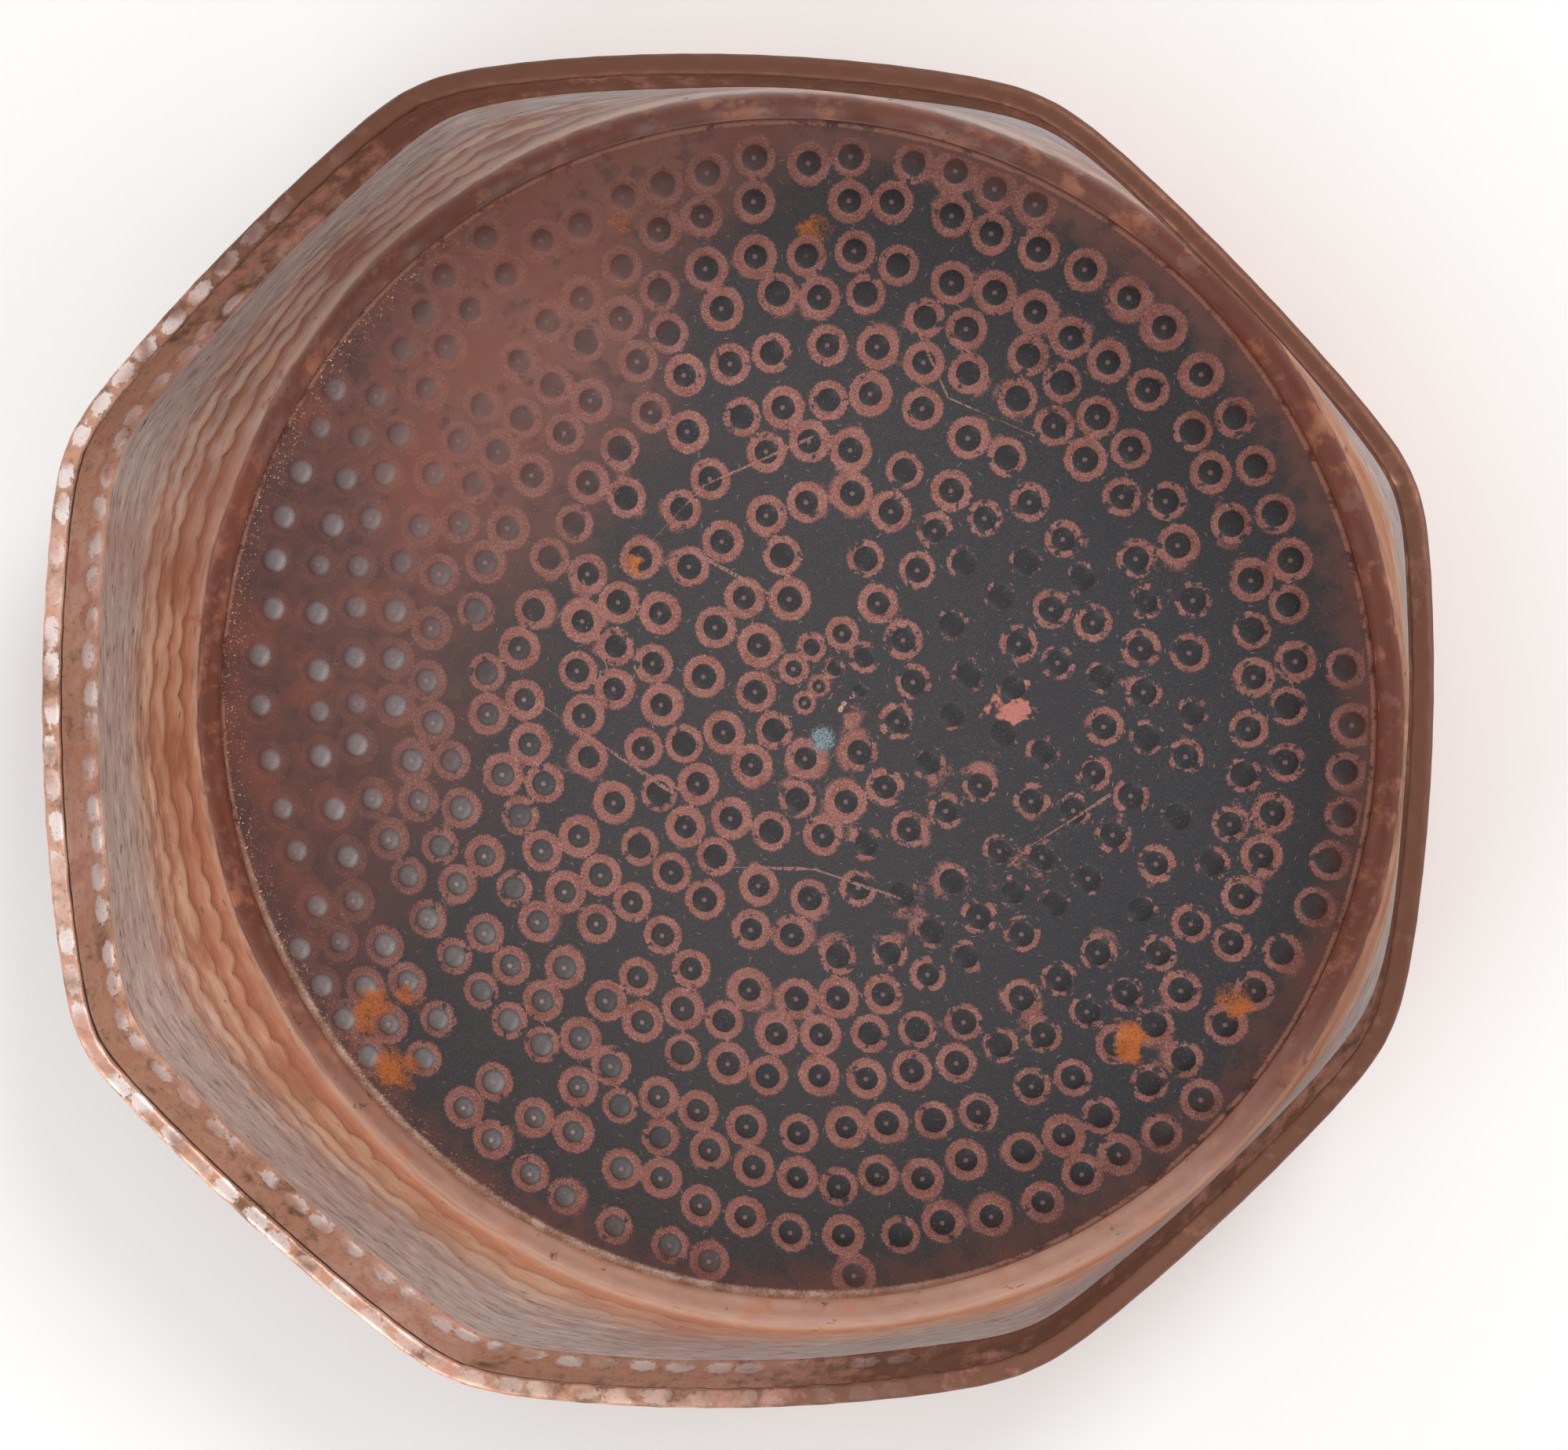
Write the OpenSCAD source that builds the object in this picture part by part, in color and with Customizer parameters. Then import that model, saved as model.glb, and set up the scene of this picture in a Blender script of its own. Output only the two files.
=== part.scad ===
// Hammered copper tray. One sheet of copper is raised into a deep round pan. Its mouth is worked out
// into an uneven octagon, and the edge of the sheet is rolled inwards over a stiffening wire.
// Frame: +Z up, z = 0 on the surface that the tray stands on, origin under the middle of the rim.

/* [Overall] */
// Mean distance from the middle of the foot out to a side of the rim
rim_reach = 194; // [165:0.5:240]
// Height over the rolled edge
tray_h = 68; // [50:0.5:110]
// Thickness of the copper sheet
sheet = 1; // [0.7:0.1:1.6]

/* [Floor and foot] */
// Radius of the round floor panel, out to its crease
panel_r = 175; // [140:0.5:215]
// Height of the floor panel's underside over the standing ring
panel_rise = 1.5; // [0.5:0.1:4]
// Width of the slope from the crease down to the standing ring
crease_w = 2.5; // [1.5:0.1:8]
// Width of the flat standing ring
ring_w = 3.5; // [2:0.1:12]
// Hollow radius where the foot turns up into the wall
fillet_r = 4; // [2:0.1:12]

/* [Wall and collar] */
// Height of the steep collar, from its fold up to the top of the tray
collar_h = 24; // [14:0.5:32]
// Distance from the rim's outline in to the inner face at the collar's fold
collar_lean = 7.3; // [5:0.1:16]

/* [Rolled edge] */
// Diameter of the stiffening wire
wire_d = 2.6; // [1.6:0.1:5]
// Gap all round between the wire and the sheet rolled over it
wire_gap = 0.1; // [0.05:0.01:0.3]
// How far the sheet turns round the wire before its lip runs straight, in degrees
roll_turn = 205; // [190:1:225]
// Gap between the lip's cut edge and the collar that it lies against
lip_gap = 0.2; // [0.1:0.05:0.8]

/* [Hidden] */

// The rim's eight sides, anticlockwise from the one on +X. Each is a shallow arc. The sides were set
// by eye under the hammer, so each reaches a little further or less far than the mean, and faces a
// little off its even bearing.
side_extra = [-1.5, -2.5, -6, 4, 10, 7.5, -6, -6];
side_skew = [-3, -0.5, -4, -4.5, -2, 7, 7, 0];
side_bow = [500, 720];
corner_sharpness = 58;

columns = 120;
wall_rows = 4;
arc_steps = 8;
fillet_turn = 80;
wire_sides = 8;

copper = "#a8664c";
iron = "#6b6460";

bead_r = wire_d / 2 + wire_gap + sheet;
roll_z = tray_h - bead_r;
fold_z = tray_h - collar_h;
// The lip runs on straight from the roll, back towards the collar. Each millimetre of it goes lip_out
// outwards and lip_down downwards. It ends where its cut edge is lip_gap from the collar's inner face,
// which leans in by collar_slope for each millimetre of height.
collar_slope = (collar_lean - sheet) / (roll_z - fold_z);
lip_out = -sin(roll_turn);
lip_down = -cos(roll_turn);
hole_r = bead_r - sheet;
lip_len = (hole_r * (1 + lip_down - lip_out * collar_slope) - lip_gap) / (lip_out + lip_down * collar_slope);
ring_in_r = panel_r + crease_w;
ring_out_r = ring_in_r + ring_w;
// The turned foot and the hammered wall lap over each other inside the flat standing ring.
foot_end_r = ring_in_r + ring_w * 2 / 3;
wall_start_r = ring_in_r + ring_w / 3;

function side_reach(k) = rim_reach + side_extra[k];
function side_bearing(k) = 45 * k + side_skew[k];

// Distance from the foot's axis out to side k along bearing a
function side_ray(k, a) =
    let(turn = a - side_bearing(k), bow = side_bow[k % 2], back = bow - side_reach(k))
    sqrt(bow * bow - pow(back * sin(turn), 2)) - back * cos(turn);

// Distance out to the rim along bearing a: the nearest side, with the corners rounded off
function rim_r(a) =
    let(near = [for (k = [0:7]) if (cos(a - side_bearing(k)) > 0.3) rim_reach / side_ray(k, a)])
    rim_reach / pow(power_sum(near), 1 / corner_sharpness);
function power_sum(v) = [for (x = v) pow(x, corner_sharpness)] * [for (x = v) 1];

function at(r, a) = [r * cos(a), r * sin(a)];
function rim_point(a) = at(rim_r(a), a);
function rim_normal(a) =
    let(d = rim_point(a + 0.5) - rim_point(a - 0.5))
    [d.y, -d.x] / norm(d);

bearings = [for (i = [0:columns - 1]) i * 360 / columns];
rim_points = [for (a = bearings) rim_point(a)];
rim_normals = [for (a = bearings) rim_normal(a)];
rim_mid = [
    max([for (p = rim_points) p.x]) + min([for (p = rim_points) p.x]),
    max([for (p = rim_points) p.y]) + min([for (p = rim_points) p.y])
] / 2;

// One ring of points round the foot at radius r, and one inside the rim's outline by d
function foot_ring(r, z) = [for (a = bearings) [r * cos(a), r * sin(a), z]];
function rim_ring(d, z) = [
    for (i = [0:columns - 1]) let(p = rim_points[i] - d * rim_normals[i]) [p.x, p.y, z]
];
function blend(low, high, t) = [for (i = [0:columns - 1]) low[i] * (1 - t) + high[i] * t];
function wall(low, high) = [for (j = [1:wall_rows - 1]) blend(low, high, j / wall_rows)];
function flip(v) = [for (i = [len(v) - 1:-1:0]) v[i]];

// The foot's turn up into the wall, on the face that lies h from the standing plane
function turn_up(h) =
    let(r = fillet_r + sheet - h)
    [for (j = [0:4]) let(a = fillet_turn * j / 4)
        foot_ring(ring_out_r + r * sin(a), fillet_r + sheet - r * cos(a))];

// The sheet's roll over the wire and its straight lip, on the face at radius r from the wire's axis
function roll(r) = [
    for (j = [0:arc_steps]) let(a = roll_turn * j / arc_steps)
        rim_ring(bead_r - r * cos(a), roll_z + r * sin(a)),
    rim_ring(bead_r + r * lip_down - lip_len * lip_out, roll_z - r * lip_out - lip_len * lip_down)
];

// One face of the sheet, h from its under and outer face, from the standing ring up to the cut edge
function sheet_face(h) =
    let(
        low = turn_up(h),
        fold = rim_ring(collar_lean - sheet + h, fold_z)
    )
    concat(
        [foot_ring(wall_start_r, h)],
        low,
        wall(low[len(low) - 1], fold),
        [fold],
        roll(bead_r - h)
    );

function flatten(v) = [for (ring = v) each ring];
// Triangles between each ring and the next, and between the last and the first if the tube closes
function band_faces(rings, closed) = [
    for (j = [0:rings - (closed ? 1 : 2)], i = [0:columns - 1])
        let(
            a = j * columns + i,
            b = j * columns + (i + 1) % columns,
            c = ((j + 1) % rings) * columns + (i + 1) % columns,
            d = ((j + 1) % rings) * columns + i
        )
        each [[a, c, b], [a, d, c]]
];

// The round part of the sheet: the floor panel, its crease and the inner part of the standing ring
module foot() {
    rotate_extrude($fn = 180)
    polygon([
        [0, panel_rise],
        [panel_r, panel_rise],
        [ring_in_r, 0],
        [foot_end_r, 0],
        [foot_end_r, sheet],
        [ring_in_r, sheet],
        [panel_r, panel_rise + sheet],
        [0, panel_rise + sheet]
    ]);
}

// The rest of the sheet, from the standing ring up the wall and collar and round the wire
module wall_and_roll() {
    rings = concat(sheet_face(0), flip(sheet_face(sheet)));
    polyhedron(flatten(rings), band_faces(len(rings), true), convexity = 6);
}

module tray_body() {
    color(copper)
    translate([-rim_mid.x, -rim_mid.y, 0])
    union() {
        foot();
        wall_and_roll();
    }
}

module rim_wire() {
    rings = [
        for (j = [0:wire_sides - 1]) let(a = 360 * j / wire_sides)
            rim_ring(bead_r - wire_d / 2 * cos(a), roll_z + wire_d / 2 * sin(a))
    ];
    color(iron)
    translate([-rim_mid.x, -rim_mid.y, 0])
    polyhedron(flatten(rings), band_faces(len(rings), true), convexity = 4);
}

tray_body();
rim_wire();
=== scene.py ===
"""Looks of the hammered copper tray.

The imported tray_body is a smooth sheet. Here it is replaced by the same sheet with its hand work: the
punched domes of the floor, the hammer marks of the wall, collar and rolled edge, and the patina.
Lengths are in design millimetres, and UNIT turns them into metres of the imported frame.
"""
import math
from functools import partial, reduce

import bpy
import numpy as np
from mathutils import Matrix, Vector


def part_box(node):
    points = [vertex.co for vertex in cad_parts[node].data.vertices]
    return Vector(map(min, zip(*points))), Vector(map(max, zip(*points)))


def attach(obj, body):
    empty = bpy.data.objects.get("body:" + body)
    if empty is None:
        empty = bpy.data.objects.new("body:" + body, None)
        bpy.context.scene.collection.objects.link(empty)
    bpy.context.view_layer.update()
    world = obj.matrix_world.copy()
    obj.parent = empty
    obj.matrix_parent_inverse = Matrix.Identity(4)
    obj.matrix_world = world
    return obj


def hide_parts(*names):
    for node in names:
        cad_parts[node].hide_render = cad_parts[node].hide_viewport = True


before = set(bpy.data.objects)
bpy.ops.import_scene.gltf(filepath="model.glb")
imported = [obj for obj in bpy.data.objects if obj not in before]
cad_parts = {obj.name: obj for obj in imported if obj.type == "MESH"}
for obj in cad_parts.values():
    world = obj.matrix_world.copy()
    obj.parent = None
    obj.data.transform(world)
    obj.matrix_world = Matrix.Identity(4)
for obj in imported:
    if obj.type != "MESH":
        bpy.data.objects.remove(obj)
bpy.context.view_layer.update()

# ---- sizes of the sheet, as designed
DESIGN_WIDTH = 397.08
RIM_REACH = 194.0
TRAY_H = 68.0
SHEET = 1.0
PANEL_R = 175.0
PANEL_RISE = 1.5
CREASE_W = 2.5
RING_W = 3.5
FILLET_R = 4.0
FILLET_TURN = 80.0
COLLAR_H = 24.0
COLLAR_LEAN = 7.3
WIRE_D = 2.6
WIRE_GAP = 0.1
ROLL_TURN = 205.0
LIP_GAP = 0.35
SIDE_EXTRA = (-1.5, -2.5, -6.0, 4.0, 10.0, 7.5, -6.0, -6.0)
SIDE_SKEW = (-3.0, -0.5, -4.0, -4.5, -2.0, 7.0, 7.0, 0.0)
SIDE_BOW = (500.0, 720.0)
SIDE_FACING = 0.3
CORNER_SHARPNESS = 58

HOLE_R = WIRE_D / 2 + WIRE_GAP
BEAD_R = HOLE_R + SHEET
ROLL_Z = TRAY_H - BEAD_R
FOLD_Z = TRAY_H - COLLAR_H
COLLAR_SLOPE = (COLLAR_LEAN - SHEET) / (ROLL_Z - FOLD_Z)
LIP_OUT = -math.sin(math.radians(ROLL_TURN))
LIP_DOWN = -math.cos(math.radians(ROLL_TURN))
LIP_LEN = (HOLE_R * (1 + LIP_DOWN - LIP_OUT * COLLAR_SLOPE) - LIP_GAP) / (LIP_OUT + LIP_DOWN * COLLAR_SLOPE)
# The seam: where the collar passes out of sight behind the lip, and how far along the lip and roll it shows
SEAM_Z = ROLL_Z - 4.2
SEAM_PATH = LIP_LEN + math.radians(ROLL_TURN - 192.0) * BEAD_R
BEAD_SPREAD = 1.25
RING_IN_R = PANEL_R + CREASE_W
RING_OUT_R = RING_IN_R + RING_W

body_low, body_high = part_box("tray_body")
UNIT = (body_high.x - body_low.x) / DESIGN_WIDTH

# How finely the sheet is divided
COLUMNS = 960
FEWEST_COLUMNS = 30
WHOLE_ROW_R = 88.0
FLOOR_STEP = 1.05
UNDERSIDE_STEP = 1.6
CREASE_ROWS = 4
TURN_UP_ROWS = 8
WALL_ROWS = 44
COLLAR_ROWS = 18
POINTS_AT_ONCE = 4000

TURN_UP_LENGTH = math.radians(FILLET_TURN) * FILLET_R
WALL_LENGTH = 40.0
COLLAR_LENGTH = ROLL_Z - FOLD_Z

# Floor marks: domes punched up from below, in loose rings round a middle that is off the foot's axis.
PUNCH_MIDDLE = (18.6, 14.2)
PUNCH_SPACING = 14.0
PUNCH_LIMIT = PANEL_R - 6.0
CROWDED = 12.6
DOME_R = 3.8
DOME_RISE = 0.95
MOAT_R = 6.8
MOAT_DEPTH = 0.14
MIDDLE_CLUSTER = 14.0

# Wall marks: how far up the wall each crest between rows of blows is, from the top of the turn-up. The first
# crests are calm. The gentle part of a row is above its crest, and the steep part below the next one.
CRESTS = (-16.0, -9.0, -2.0, 6.4, 13.0, 18.6, 23.8, 29.0, 34.5, 40.5, 47.0)
CALM_CRESTS = 3
BLOW_PITCH = 14.5
GENTLE_PART = 0.8
STEEP_PART = 0.2

# Marks on the collar and bead, and what a point carries where there is no dome, blow or seam near it
BLOW_JITTER = 0.14
PLAIN_FACET = 0.45
FAR = 9.0
NOT_ITSELF = 99.0


# ---- outline of the rim
def side_distances(turn):
    """Distance from the foot's axis out to each of the eight bowed sides, at each bearing in degrees."""
    sides = []
    for k in range(8):
        off = np.radians(turn - 45.0 * k - SIDE_SKEW[k])
        bow = SIDE_BOW[k % 2]
        back = bow - RIM_REACH - SIDE_EXTRA[k]
        ray = np.sqrt(bow**2 - (back * np.sin(off)) ** 2) - back * np.cos(off)
        sides.append(np.where(np.cos(off) > SIDE_FACING, ray, np.inf))
    return np.stack(sides)


def rim_distance(turn):
    """Distance from the foot's axis out to the rim, where the sides run into each other at the corners."""
    total = np.zeros_like(turn)
    for side in side_distances(turn):
        total += (RIM_REACH / side) ** CORNER_SHARPNESS
    return RIM_REACH / total ** (1 / CORNER_SHARPNESS)


def rim_points(turn):
    distance = rim_distance(turn)
    return np.stack([distance * np.cos(np.radians(turn)), distance * np.sin(np.radians(turn))], axis=-1)


turns = np.arange(COLUMNS) * 360.0 / COLUMNS
outline = rim_points(turns)
tangent = rim_points(turns + 0.5) - rim_points(turns - 0.5)
tangent /= np.linalg.norm(tangent, axis=1, keepdims=True)
outward = np.stack([tangent[:, 1], -tangent[:, 0]], axis=-1)
rim_middle = (outline.max(axis=0) + outline.min(axis=0)) / 2
edge_steps = np.linalg.norm(np.roll(outline, -1, axis=0) - outline, axis=1)
around = np.concatenate([[0.0], np.cumsum(edge_steps)[:-1]])
rim_length = edge_steps.sum()


# How far round the rim each of the eight corners is
nearest_side = side_distances(turns).argmin(axis=0)
corners = around[nearest_side != np.roll(nearest_side, 1)]


def circle_row(radius, z, columns=COLUMNS):
    bearing = np.arange(columns) * 2 * np.pi / columns
    return np.stack([radius * np.cos(bearing), radius * np.sin(bearing), np.full(columns, float(z))], axis=-1)


def rim_row(inset, z):
    """A row that follows the rim's outline; inset and z are one number, or one for each point."""
    plan = outline - np.reshape(inset, (-1, 1)) * outward
    return np.column_stack([plan, np.broadcast_to(z, COLUMNS)])


# ---- hammer marks
def hammer_marks(along, across, pitch, row_height, seed):
    """Distance from the nearest blow's middle: 0 at the middle and about 1 on the ridges between blows.

    along goes round the rim and closes on itself; across runs over the rows of blows.
    """
    count = round(rim_length / pitch)
    pitch = rim_length / count
    rows = int(across.max() / row_height) + 4
    shift = np.random.default_rng(seed).uniform(-BLOW_JITTER, BLOW_JITTER, (2, rows, count))
    row_now = np.floor(across / row_height).astype(int)
    nearest = np.full(np.broadcast(along, across).shape, FAR)
    for row_step in (-1, 0, 1):
        row = row_now + row_step
        stagger = 0.5 * (row % 2)
        column_now = np.floor(along / pitch - stagger).astype(int)
        for column_step in (-1, 0, 1):
            column = column_now + column_step
            blow_shift = shift[:, np.clip(row + 1, 0, rows - 1), column % count]
            offset_along = along / pitch - (column + 0.5 + stagger + blow_shift[0])
            offset_across = across / row_height - (row + 0.5 + blow_shift[1])
            nearest = np.minimum(nearest, 2 * (offset_along**2 + offset_across**2))
    return nearest


def scallops(along, pitch, rng):
    """Arcs between blows round the rim: 0 where two meet, and each blow's own strength in its middle."""
    count = round(rim_length / pitch)
    ends = np.cumsum(rng.uniform(0.7, 1.35, count))
    ends *= rim_length / ends[-1]
    strength = rng.uniform(0.45, 1.2, count)
    place = (along + rng.uniform(0, rim_length)) % rim_length
    blow = np.clip(np.searchsorted(ends, place), 0, count - 1)
    start = np.where(blow > 0, ends[blow - 1], 0.0)
    share = (place - start) / (ends[blow] - start)
    return (1 - (2 * share - 1) ** 2) * strength[blow]


def terraces(across, seed):
    """Height of the wall's rows of blows: 1 on each scalloped crest, steep below it and gentle above it."""
    rng = np.random.default_rng(seed)
    level = np.interp(across, CRESTS, np.arange(len(CRESTS)))
    lines = []
    vigour = []
    for k in range(len(CRESTS)):
        bulge, wander, weakest = (0.06, 0.12, 0.9) if k < CALM_CRESTS else (0.3, 0.22, 0.25)
        scallop = scallops(around, BLOW_PITCH, rng) * bulge
        lines.append(k + waves(around, seed + k, (230, 120, 61), wander) - scallop)
        strength = 0.75 + waves(around, seed + 40 + k, (97, 61, 43, 31), 0.8)
        vigour.append(np.clip(strength, weakest, 1.0))
    height = np.zeros(level.shape[:1] + around.shape)
    for k, (low, high) in enumerate(zip(lines[:-1], lines[1:])):
        share = (level - low[None]) / (high - low)[None]
        here = (share >= 0) & (share < 1)
        fall = np.clip(1 - share / GENTLE_PART, 0, 1) ** 1.2
        rise = np.clip((share - GENTLE_PART) / STEEP_PART, 0, 1)
        curve = np.maximum(fall * vigour[k][None], rise * rise * (3 - 2 * rise) * vigour[k + 1][None])
        height = np.where(here, curve, height)
    return height


def waves(along, seed, lengths, size=1.0):
    """A smooth wander round the rim, made of a few closed waves."""
    rng = np.random.default_rng(seed)
    total = np.zeros_like(along)
    for length in lengths:
        laps = max(1, round(rim_length / length))
        total += np.sin(2 * np.pi * laps * along / rim_length + rng.uniform(0, 2 * np.pi))
    return size * total / len(lengths)


def near_corner(along, width):
    """1 on an octagon corner, fading to 0 over width on each side."""
    gap = np.abs(along[:, None] - corners[None, :])
    gap = np.minimum(gap, rim_length - gap).min(axis=1)
    return np.exp(-((gap / width) ** 2))


def smooth_step(value, low, high):
    t = np.clip((value - low) / (high - low), 0.0, 1.0)
    return t * t * (3 - 2 * t)


def normals_of(grid):
    """Outward normals of a band of rows that goes on round the sheet's section."""
    down_rows = np.gradient(grid, axis=0)
    along_columns = np.roll(grid, -1, axis=1) - np.roll(grid, 1, axis=1)
    normal = np.cross(down_rows, along_columns)
    return normal / np.linalg.norm(normal, axis=2, keepdims=True)


# ---- punched floor
def punch_places():
    """Middles of the floor's domes, and each one's own size and chance."""
    rng = np.random.default_rng(11)
    places = [(0.0, 1.8), (-4.5, -3.5), (3.0, -8.5)]
    ring = 0
    radius = 10.5
    while radius < 2 * PANEL_R:
        count = max(7, round(2 * np.pi * radius / (PUNCH_SPACING * rng.uniform(0.96, 1.1))))
        start = rng.uniform(0, 2 * np.pi)
        wander = rng.uniform(0, 2 * np.pi, 2)
        for i in range(count):
            bearing = start + 2 * np.pi * (i + rng.uniform(-0.2, 0.2)) / count
            swing = 2.4 * math.sin(2 * bearing + wander[0]) + 2.2 * math.sin(5 * bearing + wander[1])
            reach = radius + swing * min(1, ring / 3) + rng.uniform(-2.0, 2.0)
            if rng.uniform() > 0.02:
                places.append((reach * math.cos(bearing), reach * math.sin(bearing)))
        radius += PUNCH_SPACING * rng.uniform(0.95, 1.06)
        ring += 1
    places = np.array(places)
    for _ in range(12):
        apart = places[None] - places[:, None]
        gap = np.hypot(apart[..., 0], apart[..., 1]) + NOT_ITSELF * np.eye(len(places))
        may_move = np.hypot(places[:, 0], places[:, 1]) > MIDDLE_CLUSTER
        crowded = np.clip(CROWDED - gap, 0, None) * may_move[:, None]
        places -= 0.3 * (apart / gap[..., None] * crowded[..., None]).sum(axis=1)
    places += PUNCH_MIDDLE
    places = places[np.hypot(places[:, 0], places[:, 1]) < PUNCH_LIMIT]
    return places, rng.uniform(0, 1, (len(places), 2))


punches, punch_chance = punch_places()
# How far each dome is from its nearest neighbour
punch_gap = np.hypot(punches[None, :, 0] - punches[:, None, 0], punches[None, :, 1] - punches[:, None, 1])
punch_room = (punch_gap + NOT_ITSELF * np.eye(len(punches))).min(axis=1)


def nearest_punch(points):
    """Offset to the nearest dome's middle (2), its distance, that dome's chance values (2) and its room."""
    found = []
    for part in np.array_split(points[:, :2], max(1, len(points) // POINTS_AT_ONCE)):
        offset = punches[None] - part[:, None]
        distance = np.hypot(offset[..., 0], offset[..., 1])
        best = distance.argmin(axis=1)
        pick = np.arange(len(part))
        found.append(np.column_stack([
            offset[pick, best], distance[pick, best], punch_chance[best], punch_room[best]]))
    return np.concatenate(found)


def punch_height(distance, chance, room):
    """How far the sheet stands up at each distance from a dome's middle; crowded domes are smaller."""
    dome_r = np.minimum(DOME_R * (0.9 + 0.2 * chance), 0.33 * room)
    dome = DOME_RISE * np.clip(1 - (distance / dome_r) ** 2, 0, 1) ** 0.8
    moat = -MOAT_DEPTH * np.sin(np.pi * np.clip((distance - dome_r) / (MOAT_R - dome_r), 0, 1))
    return dome + moat


def floor_swell(points):
    """The panel's own slight unevenness, which dies out at the crease."""
    x, y = points[:, 0], points[:, 1]
    swell = np.sin(x / 31 + 1.3) * np.sin(y / 37 + 0.4) + 0.6 * np.sin(x / 17 - y / 23)
    return 0.22 * swell * smooth_step(PANEL_R - np.hypot(x, y), 2.0, 40.0)


# ---- the sheet, ring by ring
class Sheet:
    """Rings of points from the middle of the floor, up and over the edge, to the middle of the underside."""

    def __init__(self):
        self.rings = []

    def add(self, points, region, facet=PLAIN_FACET, seam=FAR, near=None):
        """facet is the distance from a blow's middle, or the room of the nearest dome where near is given."""
        count = len(points)
        self.rings.append({
            "points": points,
            "region": region,
            "near": np.full((count, 6), FAR) if near is None else near,
            "facet": np.broadcast_to(facet, count),
            "seam": np.broadcast_to(seam, count),
        })


def floor_columns(radius):
    """Fewer points in the smaller circles, halved each time so that the rings still join up."""
    columns = COLUMNS
    while columns > FEWEST_COLUMNS and radius < WHOLE_ROW_R * columns / COLUMNS:
        columns //= 2
    return columns


def add_floor(sheet, region, height, step, most_columns, outwards):
    """The round panel's rings, from the middle outwards on the floor and inwards on the underside."""
    count = round((PANEL_R - 2.0) / step)
    radii = [(PANEL_R - 2.0) * i / count for i in range(1, count + 1)]
    rows = [np.array([[0.0, 0.0, height]])]
    rows += [circle_row(r, height, min(most_columns, floor_columns(r))) for r in radii]
    for row in rows if outwards else rows[::-1]:
        near = nearest_punch(row)
        row[:, 2] += punch_height(near[:, 2], near[:, 3], near[:, 5]) + floor_swell(row)
        sheet.add(row, region, facet=near[:, 5], near=near)


def foot_profile(level):
    """Radius and height of the crease and standing ring, on the face level above the standing plane."""
    crease = [(-1.0, PANEL_RISE), (-0.2, 1.42), (0.5, 1.12), (1.2, 0.68), (1.9, 0.28), (2.7, 0.05)]
    points = [(PANEL_R + beyond, level + z) for beyond, z in crease]
    return points + [(RING_IN_R + t * RING_W, level) for t in (0.35, 0.7, 1.0)]


def wall_grid(level):
    """Rows of the turn-up, wall and collar on one face, from the standing ring to where the roll starts."""
    radius = FILLET_R + SHEET - level
    rows = []
    for turn in np.radians(np.arange(1, TURN_UP_ROWS + 1) * FILLET_TURN / TURN_UP_ROWS):
        z = FILLET_R + SHEET - radius * math.cos(turn)
        rows.append(circle_row(RING_OUT_R + radius * math.sin(turn), z))
    low = rows[-1]
    fold = rim_row(COLLAR_LEAN - SHEET + level, FOLD_Z)
    rows += [low + (fold - low) * (j / WALL_ROWS) for j in range(1, WALL_ROWS + 1)]
    for j in range(1, COLLAR_ROWS + 1):
        t = j / COLLAR_ROWS
        rows.append(rim_row((COLLAR_LEAN - SHEET) * (1 - t) + level, FOLD_Z + COLLAR_LENGTH * t))
    grid = np.array(rows)
    eased = (grid[:-2] + 2 * grid[1:-1] + grid[2:]) / 4
    fold_row = TURN_UP_ROWS + WALL_ROWS
    grid[fold_row - 3:fold_row + 2] = eased[fold_row - 4:fold_row + 1]
    return grid


wall_across = np.concatenate([
    TURN_UP_LENGTH * (np.arange(1, TURN_UP_ROWS + 1) / TURN_UP_ROWS - 1),
    WALL_LENGTH * np.arange(1, WALL_ROWS + 1) / WALL_ROWS,
])[:, None]
collar_across = np.arange(1, COLLAR_ROWS + 1)[:, None] * COLLAR_LENGTH / COLLAR_ROWS
drift = waves(around, 5, (260, 90, 41), 1.4)
wall_marks = terraces(wall_across, 21)
collar_marks = hammer_marks(around[None], collar_across + 0.15 * drift, 11.3, 6.8, 34)
corner_crease = near_corner(around, 1.6)

# The wall's rows are deepest low down on the left, and die out at the turn-up and the fold
wall_depth = 1.25 - 0.95 * smooth_step(wall_across, 16.0, 28.0)
wall_depth *= smooth_step(wall_across, -5.0, -2.0)
wall_depth *= 1 - 0.6 * smooth_step(wall_across, 35.0, 40.0)
wall_depth = wall_depth * (0.5 + 0.5 * smooth_step(-outline[:, 0], -40.0, 110.0))[None]
# The collar's lowest row of blows is the deep one
collar_depth = 0.9 - 0.6 * smooth_step(collar_across, 6.0, 9.0)
collar_depth *= 1 - smooth_step(collar_across, 16.0, 19.5)
corner_depth = 0.45 * corner_crease[None] * (1 - smooth_step(collar_across, 15.0, 19.0))
dent = np.concatenate([wall_depth * (wall_marks - 0.45), collar_depth * (collar_marks - 0.75) - corner_depth])
over_rows = np.sin(np.linspace(0.2, np.pi - 0.35, len(dent)))[:, None]
dent += waves(around, 9, (150, 83, 57), 0.5)[None] * over_rows
dent *= 1 - smooth_step(np.arange(len(dent))[:, None], len(dent) - 5, len(dent) - 1)
marks = np.concatenate([wall_marks, collar_marks])
channel_swell = 0.25 * (1 + waves(around, 15, (71, 47, 29, 19, 13), 1.8))


def roll_row(radius, turn, push=0.0):
    """A row on the roll at that distance from the wire's axis; push moves it along the face's own normal."""
    turn = math.radians(turn)
    radius = radius + push
    return rim_row(BEAD_R - radius * math.cos(turn), ROLL_Z + radius * math.sin(turn))


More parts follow.
